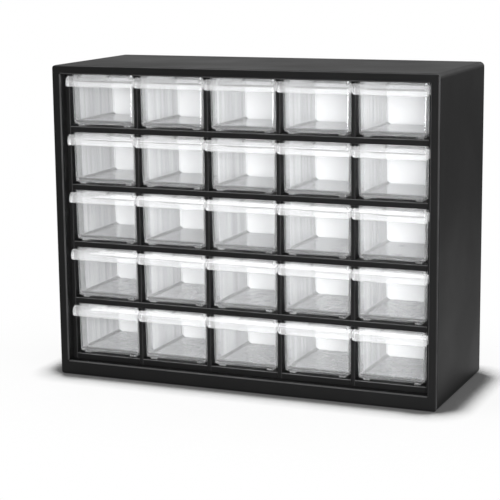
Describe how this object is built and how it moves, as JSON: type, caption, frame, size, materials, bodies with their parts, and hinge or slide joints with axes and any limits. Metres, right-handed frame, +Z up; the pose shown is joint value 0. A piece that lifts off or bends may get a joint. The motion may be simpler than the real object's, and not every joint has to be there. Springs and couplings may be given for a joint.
{
  "type": "parts bin cabinet",
  "caption": "Tabletop parts cabinet: a black moulded case holding a grid of clear slide-out drawers, each with a hooded pull, a cross partition and a rear stop.",
  "frame": {"origin": "centre of the underside, on the surface that the cabinet stands on", "axes": "+X along the width, to the right as seen from the front; +Y from the front to the back, so the drawers open towards -Y; +Z up"},
  "size_m": [0.405, 0.154, 0.32],
  "materials": {
    "case_plastic": "satin black moulded polystyrene with a very fine texture",
    "rack_plastic": "satin black moulded polystyrene",
    "drawer_plastic": "clear, slightly frosted polystyrene, glossy outside"
  },
  "bodies": {
    "cabinet": {"case": "case_plastic", "back_panel": "case_plastic", "rack_side_left": "rack_plastic", "rack_side_right": "rack_plastic", "shelf_1": "rack_plastic", "shelf_2": "rack_plastic", "shelf_3": "rack_plastic", "shelf_4": "rack_plastic", "shelf_5": "rack_plastic", "divider_1": "rack_plastic", "divider_2": "rack_plastic", "divider_3": "rack_plastic", "divider_4": "rack_plastic"},
    "drawer_r1_c1": {"drawer_r1_c1": "drawer_plastic"},
    "drawer_r1_c2": {"drawer_r1_c2": "drawer_plastic"},
    "drawer_r1_c3": {"drawer_r1_c3": "drawer_plastic"},
    "drawer_r1_c4": {"drawer_r1_c4": "drawer_plastic"},
    "drawer_r1_c5": {"drawer_r1_c5": "drawer_plastic"},
    "drawer_r2_c1": {"drawer_r2_c1": "drawer_plastic"},
    "drawer_r2_c2": {"drawer_r2_c2": "drawer_plastic"},
    "drawer_r2_c3": {"drawer_r2_c3": "drawer_plastic"},
    "drawer_r2_c4": {"drawer_r2_c4": "drawer_plastic"},
    "drawer_r2_c5": {"drawer_r2_c5": "drawer_plastic"},
    "drawer_r3_c1": {"drawer_r3_c1": "drawer_plastic"},
    "drawer_r3_c2": {"drawer_r3_c2": "drawer_plastic"},
    "drawer_r3_c3": {"drawer_r3_c3": "drawer_plastic"},
    "drawer_r3_c4": {"drawer_r3_c4": "drawer_plastic"},
    "drawer_r3_c5": {"drawer_r3_c5": "drawer_plastic"},
    "drawer_r4_c1": {"drawer_r4_c1": "drawer_plastic"},
    "drawer_r4_c2": {"drawer_r4_c2": "drawer_plastic"},
    "drawer_r4_c3": {"drawer_r4_c3": "drawer_plastic"},
    "drawer_r4_c4": {"drawer_r4_c4": "drawer_plastic"},
    "drawer_r4_c5": {"drawer_r4_c5": "drawer_plastic"},
    "drawer_r5_c1": {"drawer_r5_c1": "drawer_plastic"},
    "drawer_r5_c2": {"drawer_r5_c2": "drawer_plastic"},
    "drawer_r5_c3": {"drawer_r5_c3": "drawer_plastic"},
    "drawer_r5_c4": {"drawer_r5_c4": "drawer_plastic"},
    "drawer_r5_c5": {"drawer_r5_c5": "drawer_plastic"}
  },
  "joints": [
    {"name": "slide_r1_c1", "type": "slide", "parent": "cabinet", "child": "drawer_r1_c1", "axis": [0, -1, 0], "range_m": [0, 0.11]},
    {"name": "slide_r1_c2", "type": "slide", "parent": "cabinet", "child": "drawer_r1_c2", "axis": [0, -1, 0], "range_m": [0, 0.11]},
    {"name": "slide_r1_c3", "type": "slide", "parent": "cabinet", "child": "drawer_r1_c3", "axis": [0, -1, 0], "range_m": [0, 0.11]},
    {"name": "slide_r1_c4", "type": "slide", "parent": "cabinet", "child": "drawer_r1_c4", "axis": [0, -1, 0], "range_m": [0, 0.11]},
    {"name": "slide_r1_c5", "type": "slide", "parent": "cabinet", "child": "drawer_r1_c5", "axis": [0, -1, 0], "range_m": [0, 0.11]},
    {"name": "slide_r2_c1", "type": "slide", "parent": "cabinet", "child": "drawer_r2_c1", "axis": [0, -1, 0], "range_m": [0, 0.11]},
    {"name": "slide_r2_c2", "type": "slide", "parent": "cabinet", "child": "drawer_r2_c2", "axis": [0, -1, 0], "range_m": [0, 0.11]},
    {"name": "slide_r2_c3", "type": "slide", "parent": "cabinet", "child": "drawer_r2_c3", "axis": [0, -1, 0], "range_m": [0, 0.11]},
    {"name": "slide_r2_c4", "type": "slide", "parent": "cabinet", "child": "drawer_r2_c4", "axis": [0, -1, 0], "range_m": [0, 0.11]},
    {"name": "slide_r2_c5", "type": "slide", "parent": "cabinet", "child": "drawer_r2_c5", "axis": [0, -1, 0], "range_m": [0, 0.11]},
    {"name": "slide_r3_c1", "type": "slide", "parent": "cabinet", "child": "drawer_r3_c1", "axis": [0, -1, 0], "range_m": [0, 0.11]},
    {"name": "slide_r3_c2", "type": "slide", "parent": "cabinet", "child": "drawer_r3_c2", "axis": [0, -1, 0], "range_m": [0, 0.11]},
    {"name": "slide_r3_c3", "type": "slide", "parent": "cabinet", "child": "drawer_r3_c3", "axis": [0, -1, 0], "range_m": [0, 0.11]},
    {"name": "slide_r3_c4", "type": "slide", "parent": "cabinet", "child": "drawer_r3_c4", "axis": [0, -1, 0], "range_m": [0, 0.11]},
    {"name": "slide_r3_c5", "type": "slide", "parent": "cabinet", "child": "drawer_r3_c5", "axis": [0, -1, 0], "range_m": [0, 0.11]},
    {"name": "slide_r4_c1", "type": "slide", "parent": "cabinet", "child": "drawer_r4_c1", "axis": [0, -1, 0], "range_m": [0, 0.11]},
    {"name": "slide_r4_c2", "type": "slide", "parent": "cabinet", "child": "drawer_r4_c2", "axis": [0, -1, 0], "range_m": [0, 0.11]},
    {"name": "slide_r4_c3", "type": "slide", "parent": "cabinet", "child": "drawer_r4_c3", "axis": [0, -1, 0], "range_m": [0, 0.11]},
    {"name": "slide_r4_c4", "type": "slide", "parent": "cabinet", "child": "drawer_r4_c4", "axis": [0, -1, 0], "range_m": [0, 0.11]},
    {"name": "slide_r4_c5", "type": "slide", "parent": "cabinet", "child": "drawer_r4_c5", "axis": [0, -1, 0], "range_m": [0, 0.11]},
    {"name": "slide_r5_c1", "type": "slide", "parent": "cabinet", "child": "drawer_r5_c1", "axis": [0, -1, 0], "range_m": [0, 0.11]},
    {"name": "slide_r5_c2", "type": "slide", "parent": "cabinet", "child": "drawer_r5_c2", "axis": [0, -1, 0], "range_m": [0, 0.11]},
    {"name": "slide_r5_c3", "type": "slide", "parent": "cabinet", "child": "drawer_r5_c3", "axis": [0, -1, 0], "range_m": [0, 0.11]},
    {"name": "slide_r5_c4", "type": "slide", "parent": "cabinet", "child": "drawer_r5_c4", "axis": [0, -1, 0], "range_m": [0, 0.11]},
    {"name": "slide_r5_c5", "type": "slide", "parent": "cabinet", "child": "drawer_r5_c5", "axis": [0, -1, 0], "range_m": [0, 0.11]}
  ]
}
